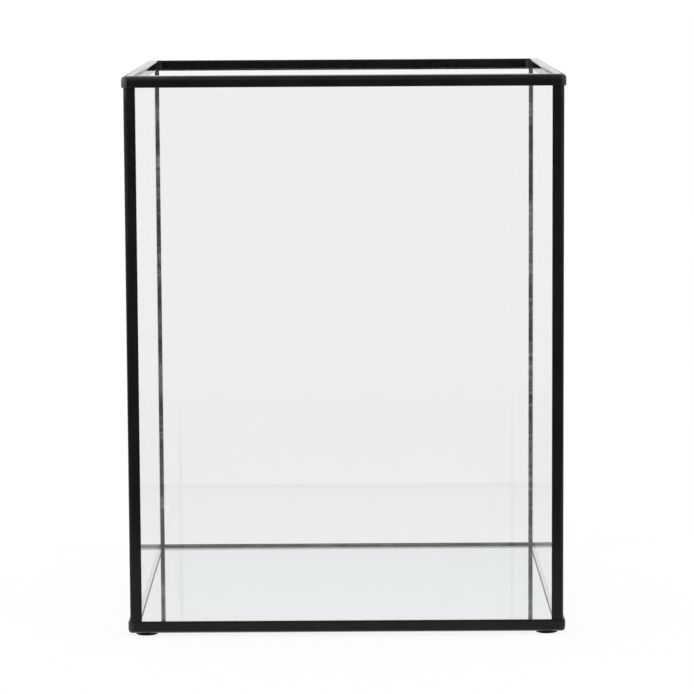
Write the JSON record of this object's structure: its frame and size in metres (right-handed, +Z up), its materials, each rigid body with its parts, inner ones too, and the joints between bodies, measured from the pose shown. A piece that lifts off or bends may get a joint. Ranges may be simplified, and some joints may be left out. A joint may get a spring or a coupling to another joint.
{
  "type": "framed glass display box",
  "caption": "Open-topped upright display box of clear glass panes in a thin black metal edge frame, with a mirror floor and small round rubber feet.",
  "frame": {"origin": "middle of the footprint, level with the soles of the feet", "axes": "+Z up; the front faces -Y; +X is the right-hand side seen from the front"},
  "size_m": [0.2, 0.2, 0.256],
  "materials": {
    "black_frame": "satin black paint over folded sheet steel",
    "clear_glass": "clear polished float glass with a faint green cast",
    "mirror_glass": "clear polished float glass over silvering",
    "mirror_silver": "silvered face above, grey protective coat below",
    "adhesive": "cured adhesive with small bubbles, seen through the glass",
    "solder": "painted-over solder, dull",
    "foot_rubber": "matte black"
  },
  "bodies": {
    "root": {"front_pane": "clear_glass", "right_pane": "clear_glass", "rear_pane": "clear_glass", "left_pane": "clear_glass", "mirror_glass": "mirror_glass", "mirror_backing": "mirror_silver", "front_mirror_strip": "adhesive", "right_mirror_strip": "adhesive", "rear_mirror_strip": "adhesive", "left_mirror_strip": "adhesive", "front_left_post": "black_frame", "front_right_post": "black_frame", "rear_right_post": "black_frame", "rear_left_post": "black_frame", "front_top_rail": "black_frame", "right_top_rail": "black_frame", "rear_top_rail": "black_frame", "left_top_rail": "black_frame", "front_bottom_rail": "black_frame", "right_bottom_rail": "black_frame", "rear_bottom_rail": "black_frame", "left_bottom_rail": "black_frame", "front_left_post_bead": "adhesive", "front_right_post_bead": "adhesive", "rear_right_post_bead": "adhesive", "rear_left_post_bead": "adhesive", "front_top_bead": "adhesive", "right_top_bead": "adhesive", "rear_top_bead": "adhesive", "left_top_bead": "adhesive", "front_bottom_bead": "adhesive", "right_bottom_bead": "adhesive", "rear_bottom_bead": "adhesive", "left_bottom_bead": "adhesive", "front_left_solder": "solder", "front_right_solder": "solder", "rear_right_solder": "solder", "rear_left_solder": "solder", "front_left_foot": "foot_rubber", "front_right_foot": "foot_rubber", "rear_right_foot": "foot_rubber", "rear_left_foot": "foot_rubber"}
  },
  "joints": []
}
